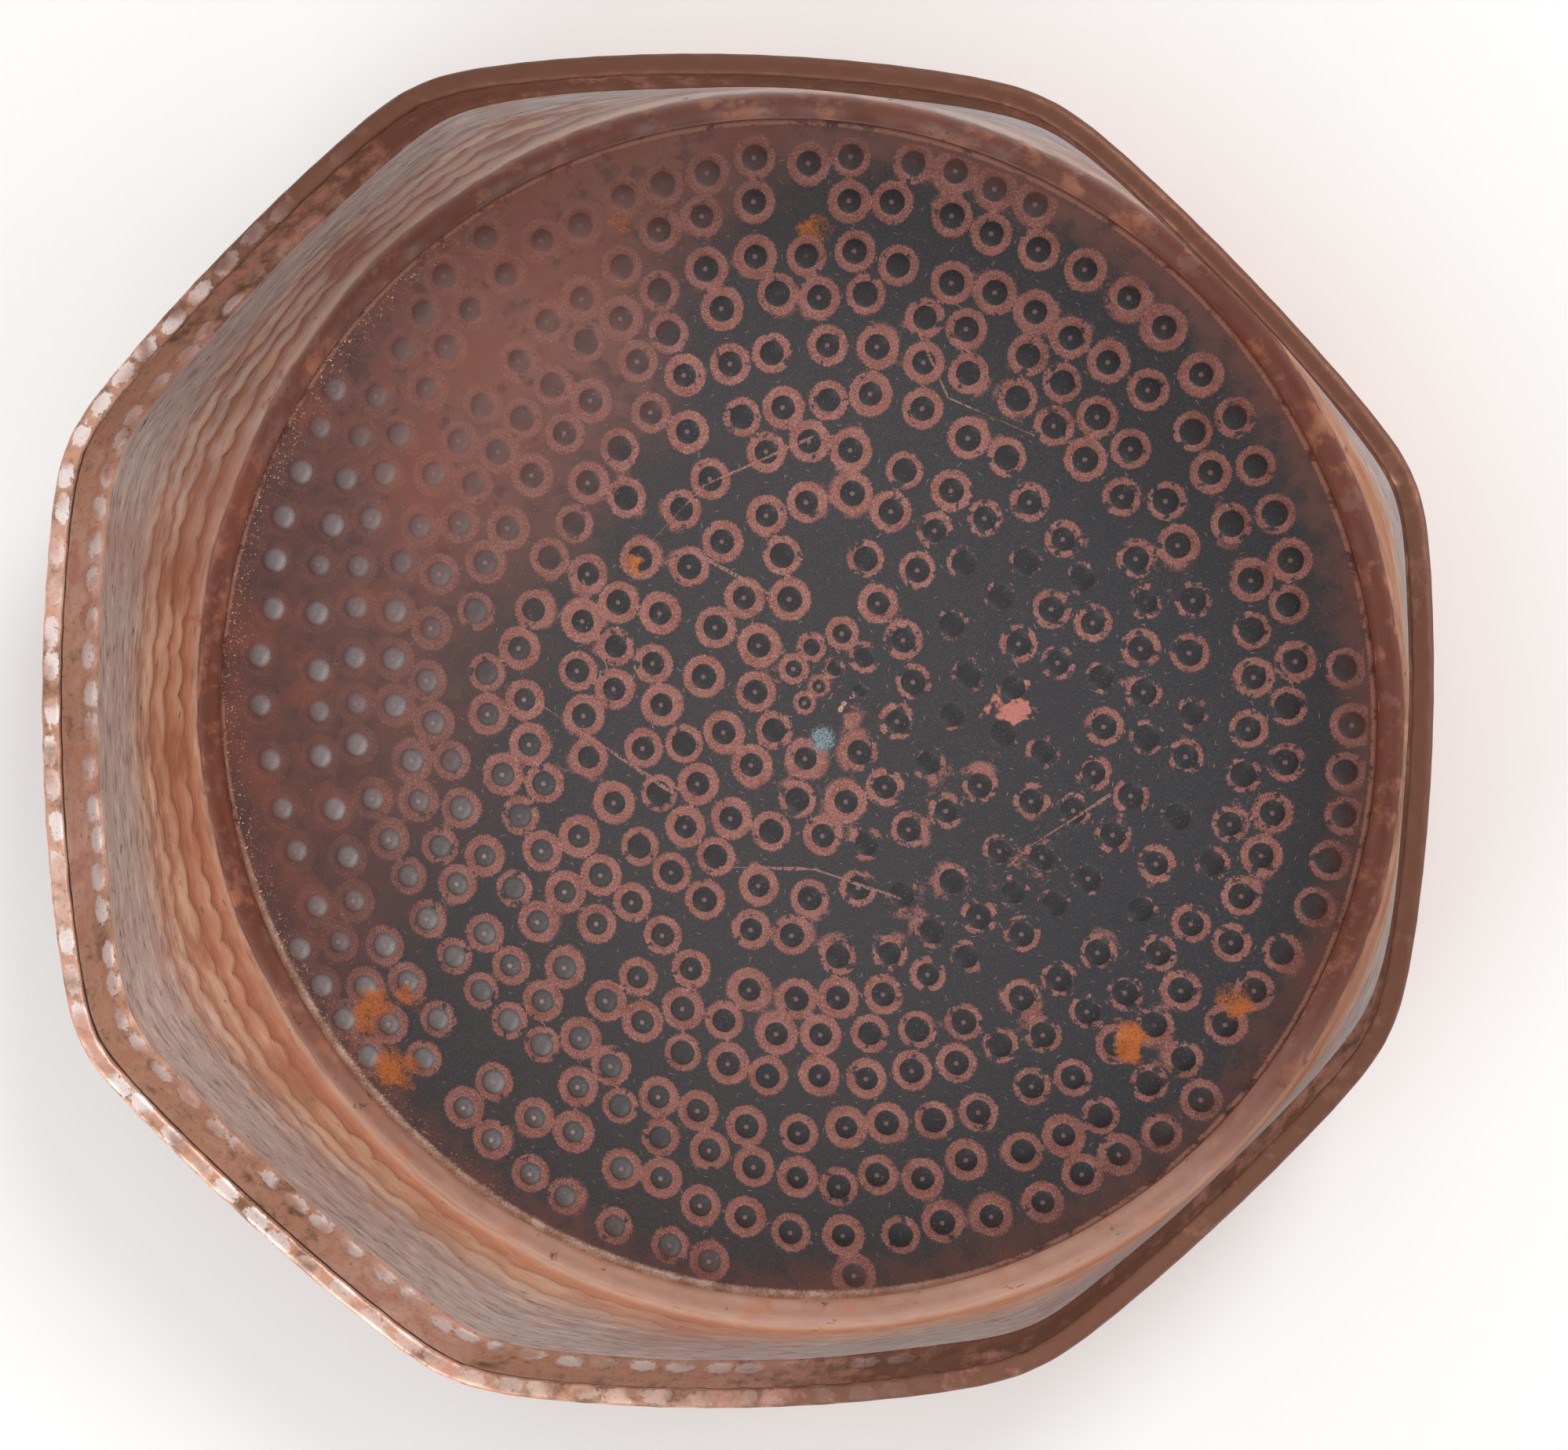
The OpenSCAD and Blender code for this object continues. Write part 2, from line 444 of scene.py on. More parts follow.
def lip_row(radius, length, push=0.0):
    """A row on the straight lip, length beyond the end of the roll."""
    radius = radius + push
    inset = BEAD_R + radius * LIP_DOWN - length * LIP_OUT
    return rim_row(inset, ROLL_Z - radius * LIP_OUT - length * LIP_DOWN)


def build_sheet():
    """The whole sheet: floor, foot, wall, collar, roll, and back down the outside."""
    sheet = Sheet()
    add_floor(sheet, "floor", PANEL_RISE + SHEET, FLOOR_STEP, COLUMNS, True)
    for i, (radius, z) in enumerate(foot_profile(SHEET)):
        row = circle_row(radius, z)
        row[:, 2] += channel_swell * (smooth_step(i, 3, 6) - 0.8 * smooth_step(i, 6, 8))
        sheet.add(row, "channel" if i >= CREASE_ROWS else "crease")

    inner = wall_grid(SHEET)
    inner = inner + normals_of(inner) * dent[..., None]
    for j, row in enumerate(inner):
        on_wall = j < TURN_UP_ROWS + WALL_ROWS
        region = "wall" if on_wall else "collar"
        seam = FAR if on_wall else np.maximum(0.0, SEAM_Z - row[:, 2])
        sheet.add(row, region, marks[j], seam)

    for turn in (35, 75, 115, 155, 190):
        sheet.add(roll_row(HOLE_R, turn), "hidden")
    lip_end = LIP_LEN + 0.45 * (waves(around, 3, (61, 34, 23), 1.0) - 1) - 0.5 * corner_crease
    sheet.add(lip_row(HOLE_R, 0.5 * lip_end), "hidden")
    sheet.add(lip_row(HOLE_R, lip_end), "hidden")

    # The visible side of the lip and bead, with a row of flats along the top
    profile = [("lip", t) for t in (1.0, 0.86, 0.6, 0.3)]
    profile += [("roll", t) for t in range(int(ROLL_TURN), -1, -14)]
    path = np.array([
        (1 - t) * LIP_LEN if kind == "lip" else LIP_LEN + math.radians(ROLL_TURN - t) * BEAD_R
        for kind, t in profile
    ])[:, None]
    flats = hammer_marks(around[None] + 3.0, path - 4.8 + 0.25 * drift, 11.6, 5.0, 55)
    fade = 1 - 0.75 * smooth_step(path, path[-1] - 2.0, path[-1])
    push = (0.5 * (flats - 0.95) - 0.3 * corner_crease[None]) * fade
    push = np.clip(push, -0.55, 0.0) * smooth_step(path, -0.2, 1.0)
    # The hammering has also spread the roll inwards
    spread = BEAD_SPREAD * smooth_step(path[:, 0], path[-1, 0] * 0.76, path[-1, 0] * 0.5)
    for j, (kind, t) in enumerate(profile):
        seam = max(0.0, path[j, 0] - SEAM_PATH)
        if kind == "lip":
            bevel = 0.18 if t == 1.0 else 0.0
            row = lip_row(BEAD_R, t * lip_end, push[j] - bevel)
        else:
            row = roll_row(BEAD_R, t, push[j])
        row[:, :2] -= spread[j] * outward
        sheet.add(row, "bead", flats[j], seam)

    outer = wall_grid(0.0)[::-1]
    outer_dent = 0.5 * dent[::-1]
    outer = outer - normals_of(outer) * outer_dent[..., None]
    outer_marks = marks[::-1]
    for j, row in enumerate(outer[1:], 1):
        on_collar = j < COLLAR_ROWS
        half = slice(None) if on_collar else slice(None, None, 2)
        region = "outer_collar" if on_collar else "outer_wall"
        sheet.add(row[half], region, outer_marks[j][half])
    for radius, z in foot_profile(0.0)[::-1]:
        sheet.add(circle_row(radius, z, COLUMNS // 2), "outer_foot")
    add_floor(sheet, "underside", PANEL_RISE, UNDERSIDE_STEP, COLUMNS // 2, False)
    return sheet


# ---- mesh
def beside(*columns):
    return np.stack(columns, axis=1)


def ring_faces(first, second, first_start, second_start):
    """Corners of the faces between two rings, and how far round each corner is, from 0 to 1."""
    a, b = len(first), len(second)
    small = min(a, b)
    if small == 1:
        i = np.arange(max(a, b))
        turn = beside(i + 0.5, i, i + 1) / max(a, b)
        if a == 1:
            tri = beside(np.full(b, first_start), second_start + i, second_start + (i + 1) % b)
            return [(tri, turn)]
        tri = beside(first_start + i, np.full(a, second_start), first_start + (i + 1) % a)
        return [(tri, turn[:, [1, 0, 2]])]
    i = np.arange(small)
    after = (i + 1) % small
    if a == b:
        quad = beside(first_start + i, second_start + i, second_start + after, first_start + after)
        return [(quad, beside(i, i, i + 1, i + 1) / small)]
    low, mid, high = i / small, (i + 0.5) / small, (i + 1) / small
    if a < b:
        f, n = first_start + i, first_start + after
        s0, s1, s2 = (second_start + (2 * i + k) % b for k in range(3))
        return [
            (beside(f, s0, s1), beside(low, low, mid)),
            (beside(f, s1, n), beside(low, mid, high)),
            (beside(n, s1, s2), beside(high, mid, high)),
        ]
    s, n = second_start + i, second_start + after
    f0, f1, f2 = (first_start + (2 * i + k) % a for k in range(3))
    return [
        (beside(f0, s, f1), beside(low, low, mid)),
        (beside(f1, s, n), beside(mid, low, high)),
        (beside(f1, n, f2), beside(mid, high, high)),
    ]


SLOTS = {"floor": 0, "crease": 0, "channel": 1, "wall": 1, "collar": 2, "hidden": 2, "bead": 2,
         "outer_collar": 3, "outer_wall": 3, "outer_foot": 3, "underside": 4}
# Where each region lies on the texture: discs for the floor and underside, and strips for the rest.
# Strips are cut into two half turns, one above the other. Values: left, bottom, width, height.
DISCS = {"floor": (0.005, 0.385, 0.61, 0.61), "underside": (0.625, 0.625, 0.37, 0.37)}
STRIPS = (
    (("channel", "wall", "collar", "hidden", "bead"), (0.005, 0.165, 0.99, 0.105)),
    (("outer_collar", "outer_wall", "outer_foot"), (0.005, 0.01, 0.99, 0.072)),
)


def disc_places(points, place):
    """Places on the texture for the corners of a disc's faces."""
    left, bottom, width, height = place
    reach = 2 * (PANEL_R + 4.0)
    return np.column_stack([
        left + width * (0.5 + points[:, 0] / reach),
        bottom + height * (0.5 + points[:, 1] / reach)])


def strip_places(turn, across, place):
    """Places on the texture for the corners of a strip's faces; across runs from 0 to 1 over the strip."""
    left, bottom, width, height = place
    second_half = np.repeat(turn.mean(axis=1), turn.shape[1]) > 0.5
    return np.column_stack([
        left + width * (2 * turn.ravel() - second_half),
        bottom + height * (0.97 * across + second_half)])


def strip_shares(rings):
    """For each ring on a strip, how far across it the ring and the one before are, and the strip's place."""
    shares = {}
    for regions, place in STRIPS:
        members = [i for i, ring in enumerate(rings) if ring["region"] in regions]
        steps = [0.0]
        for i in members:
            steps.append(steps[-1] + np.linalg.norm(rings[i]["points"][0] - rings[i - 1]["points"][0]))
        for k, i in enumerate(members):
            shares[i] = (steps[k] / steps[-1], steps[k + 1] / steps[-1], place)
    return shares


def build_mesh(sheet):
    rings = sheet.rings
    starts = np.concatenate([[0], np.cumsum([len(r["points"]) for r in rings])])
    points = np.concatenate([r["points"] for r in rings])
    shares = strip_shares(rings)

    corner_vertex, corner_uv, face_sizes, face_slots = [], [], [], []
    for j in range(1, len(rings)):
        region = rings[j]["region"]
        for faces, turn in ring_faces(rings[j - 1]["points"], rings[j]["points"], starts[j - 1], starts[j]):
            flat = faces.ravel()
            if j in shares:
                before, here, place = shares[j]
                on_second = (flat >= starts[j]).astype(float)
                uv = strip_places(turn, before * (1 - on_second) + here * on_second, place)
            else:
                uv = disc_places(points[flat], DISCS["floor" if region == "crease" else region])
            corner_vertex.append(flat)
            corner_uv.append(uv)
            face_sizes.append(np.full(len(faces), faces.shape[1]))
            face_slots.append(np.full(len(faces), SLOTS[region]))

    corner_vertex = np.concatenate(corner_vertex)
    face_sizes = np.concatenate(face_sizes)
    places = points.copy()
    places[:, :2] -= rim_middle
    mesh = bpy.data.meshes.new("hammered_sheet")
    mesh.vertices.add(len(places))
    mesh.vertices.foreach_set("co", (places * UNIT).astype(np.float32).ravel())
    mesh.loops.add(len(corner_vertex))
    mesh.loops.foreach_set("vertex_index", corner_vertex.astype(np.int32))
    mesh.polygons.add(len(face_sizes))
    loop_starts = np.concatenate([[0], np.cumsum(face_sizes)[:-1]]).astype(np.int32)
    mesh.polygons.foreach_set("loop_start", loop_starts)
    mesh.update(calc_edges=True)
    mesh.polygons.foreach_set("material_index", np.concatenate(face_slots).astype(np.int32))
    mesh.polygons.foreach_set("use_smooth", np.ones(len(face_sizes), bool))

    near = np.concatenate([r["near"] for r in rings])
    facet = np.concatenate([r["facet"] for r in rings])
    seam = np.concatenate([r["seam"] for r in rings])
    for name, values in (("punch", near[:, :3]), ("chance", np.column_stack([near[:, 3:5], facet]))):
        layer = mesh.attributes.new(name, "FLOAT_VECTOR", "POINT")
        layer.data.foreach_set("vector", values.astype(np.float32).ravel())
    layer = mesh.attributes.new("seam", "FLOAT", "POINT")
    layer.data.foreach_set("value", seam.astype(np.float32))
    uv_layer = mesh.uv_layers.new(name="OFBake")
    uv_layer.data.foreach_set("uv", np.concatenate(corner_uv).astype(np.float32).ravel())
    mesh.validate()
    return mesh


# ---- materials
def linear(red, green, blue):
    """A screen colour, 0 to 255, as the linear colour that shaders take."""
    return tuple(((c / 255 + 0.055) / 1.055) ** 2.4 for c in (red, green, blue)) + (1.0,)


FLAT = (1.0, 1.0, 0.0)


class Nodes:
    """Short names for the nodes that the materials use. A value is a number, a colour or a socket."""

    def __init__(self, name):
        self.material = bpy.data.materials.new(name)
        self.material.use_nodes = True
        self.tree = self.material.node_tree
        self.shader = self.tree.nodes["Principled BSDF"]
        texture = self.tree.nodes.new("ShaderNodeTexCoord")
        self.place = self.vector("MULTIPLY", texture.outputs["Object"], (1 / UNIT,) * 3)

    def join(self, socket, value):
        if isinstance(value, bpy.types.NodeSocket):
            self.tree.links.new(value, socket)
        else:
            socket.default_value = value

    def math(self, operation, *values):
        node = self.tree.nodes.new("ShaderNodeMath")
        node.operation = operation
        for socket, value in zip(node.inputs, values):
            self.join(socket, value)
        return node.outputs[0]

    def vector(self, operation, *values, scale=None):
        node = self.tree.nodes.new("ShaderNodeVectorMath")
        node.operation = operation
        for socket, value in zip(node.inputs, values):
            self.join(socket, value)
        if scale is not None:
            self.join(node.inputs["Scale"], scale)
        return node.outputs["Value" if operation in ("LENGTH", "DOT_PRODUCT", "DISTANCE") else "Vector"]

    def parts(self, vector):
        node = self.tree.nodes.new("ShaderNodeSeparateXYZ")
        self.join(node.inputs[0], vector)
        return node.outputs

    def attribute(self, name, kind="Vector"):
        node = self.tree.nodes.new("ShaderNodeAttribute")
        node.attribute_name = name
        return node.outputs[kind]

    def noise(self, scale, detail=3.0, roughness=0.55, stretch=None, offset=0.0):
        """Noise from 0 to 1; scale is in features a millimetre, and stretch squeezes it along x, y and z."""
        place = self.place
        if stretch is not None:
            place = self.vector("MULTIPLY", place, stretch)
        if offset:
            place = self.vector("ADD", place, (offset, offset * 0.7, offset * 0.3))
        node = self.tree.nodes.new("ShaderNodeTexNoise")
        self.join(node.inputs["Vector"], place)
        node.inputs["Scale"].default_value = scale
        node.inputs["Detail"].default_value = detail
        node.inputs["Roughness"].default_value = roughness
        return node.outputs["Fac"]

    def step(self, value, low, high, start=0.0, end=1.0):
        """A smooth change from start at low to end at high."""
        node = self.tree.nodes.new("ShaderNodeMapRange")
        node.interpolation_type = "SMOOTHSTEP"
        for name, given in (("Value", value), ("From Min", low), ("From Max", high),
                            ("To Min", start), ("To Max", end)):
            self.join(node.inputs[name], given)
        return node.outputs["Result"]

    def mix(self, first, second, share, kind="MIX"):
        node = self.tree.nodes.new("ShaderNodeMix")
        node.data_type = "RGBA"
        node.blend_type = kind
        self.join(node.inputs["Factor"], share)
        for name, value in (("A", first), ("B", second)):
            self.join([s for s in node.inputs if s.name == name and s.type == "RGBA"][0], value)
        return [s for s in node.outputs if s.type == "RGBA"][0]

    def coat(self, colour, tone, share):
        """Lays a screen colour over another colour."""
        return self.mix(colour, linear(*tone), share)

    def tones(self, first, second, share):
        return self.coat(linear(*first), second, share)

    def mul(self, *values):
        return reduce(partial(self.math, "MULTIPLY"), values)

    def add(self, *values):
        """A sum, where (value, factor) stands for a value taken that many times."""
        values = [self.mul(*value) if isinstance(value, tuple) else value for value in values]
        return reduce(partial(self.math, "ADD"), values)

    def sub(self, first, second):
        return self.math("SUBTRACT", first, second)

    def rest(self, share):
        """What is left of one."""
        return self.sub(1.0, share)

    def sway(self, noise, size):
        """Noise as a swing to both sides of zero."""
        return self.mul(self.sub(noise, 0.5), size)

    def least(self, first, second):
        return self.math("MINIMUM", first, second)

    def most(self, *values):
        return reduce(partial(self.math, "MAXIMUM"), values)

    def blot(self, x, y, radius, raggedness, noise):
        """A ragged stain on the floor round (x, y), measured from the foot's axis."""
        middle = (x - rim_middle[0], y - rim_middle[1], 0.0)
        flat = self.vector("MULTIPLY", self.place, FLAT)
        distance = self.vector("DISTANCE", flat, middle)
        return self.step(self.add(distance, self.sway(noise, raggedness)), radius * 1.25, radius * 0.75)

    def scratch(self, x0, y0, x1, y1, width, noise):
        """A thin line on the floor between two points measured from the foot's axis."""
        start = (x0 - rim_middle[0], y0 - rim_middle[1], 0.0)
        line = Vector((x1 - x0, y1 - y0, 0.0))
        flat = self.vector("MULTIPLY", self.place, FLAT)
        offset = self.vector("SUBTRACT", flat, start)
        share = self.mul(self.vector("DOT_PRODUCT", offset, tuple(line)), 1 / line.length_squared)
        share = self.most(self.least(share, 1.0), 0.0)
        on_line = self.vector("SCALE", tuple(line), scale=share)
        distance = self.vector("DISTANCE", offset, on_line)
        return self.step(self.math("ABSOLUTE", self.add(distance, self.sway(noise, 2.2))), width, width * 0.4)

    def finish(self, colour, metallic, roughness, height, bump, distance=0.2):
        self.join(self.shader.inputs["Base Color"], colour)
        self.join(self.shader.inputs["Metallic"], metallic)
        self.join(self.shader.inputs["Roughness"], roughness)
        node = self.tree.nodes.new("ShaderNodeBump")
        node.inputs["Strength"].default_value = bump
        node.inputs["Distance"].default_value = distance * UNIT
        self.join(node.inputs["Height"], height)
        self.join(self.shader.inputs["Normal"], node.outputs["Normal"])
        return self.material


# The floor's orange stains, each with its middle and radius, and its long scratches, from end to end
STAINS = (((-120, -110), 6), ((-127, -93), 7), ((14, 145), 3.5), ((137, -79), 4.5), ((106, -93), 5),
          ((-116, -88), 4), ((-42, 48), 3), ((150, -96), 4), ((-46, 150), 4))
SCRATCHES = ((44, 115, 53, 95), (53, 95, 78, 84), (-25, 51, -1, 38), (-58, 42, -51, 15),
             (-72, 4, -31, -22), (-17, -44, 12, -44), (12, -44, 38, -52), (13, 84, -20, 70),
             (100, -20, 76, -36), (-20, 70, -44, 46))


def floor_material():
    n = Nodes("floor_patina_and_painted_light")
    x, y, _ = n.parts(n.place)
    offset = n.attribute("punch")
    off_x, off_y, loose_distance = n.parts(offset)
    exact = n.vector("LENGTH", n.vector("MULTIPLY", offset, FLAT))
    dome_chance, mark_chance, room = n.parts(n.attribute("chance"))
    half_room = n.mul(n.least(room, 13.6), 0.5)
    far = n.step(loose_distance, n.sub(half_room, 1.7), n.sub(half_room, 1.1))
    distance = n.add(n.mul(exact, n.rest(far)), n.mul(loose_distance, far))

    broad = n.noise(0.011, 3, 0.5, offset=17)
    patchy = n.noise(0.045, 4, 0.6, offset=5)
    cloud = n.noise(0.16, 4, 0.6, offset=40)
    ragged = n.noise(1.3, 4, 0.78)
    grain = n.noise(2.2, 4, 0.8)
    speck = n.noise(1.5, 2, 0.5, offset=71)

    # Darker, near-black floor to the right and below; red-brown to the upper left
    slant = n.add((x, 0.87), (y, -0.47), 90)
    slant = n.add(slant, n.sway(broad, 70), n.sway(patchy, 50))
    dark = n.step(slant, -22, 34)
    from_foot = n.vector("ADD", n.place, (*map(float, rim_middle), 0))
    reach = n.vector("LENGTH", n.vector("MULTIPLY", from_foot, FLAT))
    at_edge = n.step(n.add(reach, n.sway(cloud, 14)), 160, 174)
    dark = n.mul(dark, n.rest(n.mul(at_edge, 0.62)))

    brown = n.tones((104, 68, 61), (138, 93, 82), n.step(y, -60, 150))
    brown = n.coat(brown, (90, 63, 61), n.step(x, -70, -150, 0, 0.8))
    brown = n.coat(brown, (136, 78, 62), n.step(patchy, 0.42, 0.66, 0, 0.65))
    brown = n.coat(brown, (84, 58, 57), n.step(n.add((cloud, 0.6), (patchy, 0.4)), 0.5, 0.38, 0, 0.6))
    black = n.tones((61, 60, 62), (52, 55, 59), n.step(x, -20, 130))
    patina = n.mix(brown, black, dark)
    patina = n.coat(patina, (104, 90, 88), n.mul(n.step(n.add(grain, (ragged, 0.3)), 0.62, 0.85), 0.6))
    patina = n.coat(patina, (44, 36, 36), n.mul(n.step(grain, 0.42, 0.25), 0.5))
    mottle = n.step(cloud, 0.35, 0.72, 0, 0.22)
    patina = n.coat(patina, (112, 74, 66), n.mul(mottle, n.rest(n.mul(dark, 0.85))))

    # Bare ring round each dome: whole in some places, and thin and broken in others
    wobble = n.sway(ragged, 3)
    soft = n.rest(dark)
    dome_edge = n.least(n.add(DOME_R * 0.9, (dome_chance, 0.45)), n.mul(room, 0.3))
    ring_edge = n.add(5.75, (mark_chance, 0.9), n.sway(patchy, 1.6))
    ring_edge = n.least(ring_edge, n.mul(room, 0.56))
    from_broken = n.vector("DISTANCE", n.vector("MULTIPLY", n.place, (1, 0.75, 0)), (88, -10, 0))
    broken_place = n.step(from_broken, 92, 38)
    ring_edge = n.sub(ring_edge, n.mul(broken_place, 0.9))
    inner_blur = n.add(0.12, (soft, 0.5))
    outer_blur = n.add(0.18, (soft, 0.55))
    inner_distance = n.add(distance, (wobble, 0.35))
    inner_side = n.step(inner_distance, n.sub(dome_edge, 0.12), n.add(dome_edge, inner_blur))
    outer_side = n.step(n.add(distance, wobble), n.add(ring_edge, outer_blur), n.sub(ring_edge, 0.18))
    gaps = n.noise(0.28, 3, 0.6, offset=90)
    whole = n.step(n.add(gaps, (mark_chance, 0.14), (broken_place, -0.17)), 0.38, 0.45)
    ring = n.mul(inner_side, outer_side, whole)
    spill = n.mul(n.step(n.add(patchy, (ragged, 0.22)), 0.70, 0.76), n.step(distance, 8, 6))
    ring = n.most(ring, n.mul(spill, inner_side))
    dot = n.step(n.add(exact, (wobble, 0.3)), 0.85, 0.5)
    dot = n.mul(dot, n.step(mark_chance, 0.25, 0.3), n.add(0.25, (dark, 0.75)))
    bare = n.tones((160, 108, 99), (142, 90, 79), n.step(cloud, 0.35, 0.7))
    bare = n.coat(bare, (212, 164, 154), n.step(grain, 0.5, 0.66, 0, 0.8))
    bare = n.coat(bare, (92, 68, 65), n.step(grain, 0.48, 0.34, 0, 0.8))
    show = n.add(n.step(x, -150, -60, 0.12, 0.34), (dark, 0.62))
    colour = n.mix(patina, bare, n.mul(ring, show))
    colour = n.coat(colour, (205, 160, 150), dot)

    # Domes toward the left: painted reflection in pale grey, a painted highlight on the lamp side, painted
    # shade opposite; also more metallic
    pale_place = n.step(n.add((x, -0.9), (y, -0.35)), 25, 130)
    dome = n.step(n.add(distance, (wobble, 0.25)), n.add(dome_edge, 0.2), n.sub(dome_edge, 0.5))
    brown_dome = n.mul(dome, n.rest(dark), n.rest(pale_place))
    colour = n.coat(colour, (92, 74, 71), n.mul(brown_dome, 0.6))
    soft_dome = n.step(n.add(distance, (wobble, 0.4)), n.add(dome_edge, 0.5), n.sub(dome_edge, 1.6))
    polish_and_reflection = n.mul(soft_dome, pale_place, n.step(n.add(grain, (dome_chance, 0.25)), 0.38, 0.8, 0.3, 0.95))
    colour = n.coat(colour, (136, 130, 130), polish_and_reflection)
    to_light = n.add((off_x, -0.85), (off_y, 0.5), (wobble, 0.6))
    lit_side = n.step(to_light, 0.6, 3.2)
    colour = n.coat(colour, (196, 190, 188), n.mul(polish_and_reflection, lit_side, 0.55))
    shaded_dome_side = n.step(to_light, -1, -3.4)
    colour = n.coat(colour, (96, 84, 82), n.mul(polish_and_reflection, shaded_dome_side, 0.5))
    dome_dark = n.mul(dome, dark, n.rest(pale_place))
    colour = n.coat(colour, (44, 43, 45), n.mul(dome_dark, 0.7))
    fleck = n.mul(dome_dark, n.step(n.add(ragged, (grain, 0.2)), 0.72, 0.78))
    colour = n.coat(colour, (150, 130, 124), n.mul(fleck, 0.7))

    # Stains, with the orange of old residue, and a few long scratches
    stain = n.most(*[n.blot(*middle, radius, 16, cloud) for middle, radius in STAINS])
    stain = n.mul(stain, n.step(n.add((patchy, 0.6), (ragged, 0.4)), 0.42, 0.56))
    orange = n.tones((190, 98, 44), (222, 140, 62), n.step(grain, 0.4, 0.7))
    colour = n.mix(colour, orange, n.mul(stain, 0.85))
    pink = n.blot(71, 4, 4.5, 26, cloud)
    colour = n.coat(colour, (190, 122, 108), n.mul(pink, n.step(ragged, 0.3, 0.45), inner_side))
    pearl = n.blot(15, -5, 3.4, 7, ragged)
    colour = n.mix(colour, n.tones((70, 80, 86), (158, 174, 182), n.step(grain, 0.4, 0.62)), pearl)
    marks_line = n.most(*[n.scratch(*line, 0.45, patchy) for line in SCRATCHES])
    broken_line = n.mul(marks_line, n.step(speck, 0.38, 0.5))
    colour = n.coat(colour, (170, 122, 112), n.mul(broken_line, 0.8))
    dust = n.mul(n.step(speck, 0.70, 0.76), n.step(patchy, 0.35, 0.6))
    colour = n.coat(colour, (176, 150, 142), n.mul(dust, 0.7))

    # The crease's worn line, wider and shinier at the lower left, with nicks inside it on the left
    lower_left = n.step(n.add((x, -0.5), (y, -0.87)), 95, 150)
    line_reach = n.add(reach, (wobble, 0.5))
    crease_in = n.step(line_reach, n.add(174, (lower_left, -1.6)), n.add(174.8, (lower_left, -1)))
    crease_out = n.step(line_reach, n.add(176, (lower_left, 1.2)), n.add(175.3, (lower_left, 0.8)))
    worn = n.add(cloud, (lower_left, 0.3), (ragged, 0.3))
    crease_line = n.mul(crease_in, crease_out, n.step(worn, 0.52, 0.66))
    shiny = n.mul(lower_left, n.step(n.add((cloud, 0.5), (ragged, 0.5)), 0.42, 0.64))
    edge_tone = n.tones((182, 138, 122), (168, 130, 108), lower_left)
    colour = n.mix(colour, n.coat(edge_tone, (226, 202, 186), shiny), n.mul(crease_line, 0.8))
    nicks = n.step(n.add(speck, (ragged, 0.3)), 0.78, 0.86)
    nicks = n.mul(nicks, n.step(reach, 165, 174), n.step(x, -60, -130))
    colour = n.coat(colour, (236, 204, 178), n.mul(nicks, 0.9))
    # The channel: dark red-brown, partly its own tone and partly painted shade; lighter toward low y, painted
    # light where it faces the lamps
    channel = n.step(n.add((cloud, 0.6), (ragged, 0.4)), 0.42, 0.6)
    channel = n.tones((100, 60, 50), (134, 82, 66), channel)
    channel = n.coat(channel, (206, 166, 148), n.mul(n.step(y, -80, -160), 0.9))
    colour = n.mix(colour, channel, n.step(reach, 175.2, 177.4))

    bright = n.most(n.mul(ring, show), n.mul(crease_line, 0.6))
    metallic = n.add(0.12, (bright, 0.3), (polish_and_reflection, 0.3))
    roughness = n.add(0.34, (bright, 0.22), (grain, 0.14), (cloud, 0.08))
    rough_ring = n.mul(ring, n.mul(ragged, 0.6))
    height = n.add((grain, 0.12), rough_ring, (broken_line, -0.5), (dome, 0.5), n.mul(stain, ragged))
    n.shader.inputs["Specular IOR Level"].default_value = 0.3
    return n.finish(colour, metallic, roughness, height, 0.5, 0.35)


def streaks(n, scale, squeeze, offset):
    """Streaks that run round the tray."""
    return n.noise(scale, 4, 0.6, stretch=(1, 1, squeeze), offset=offset)


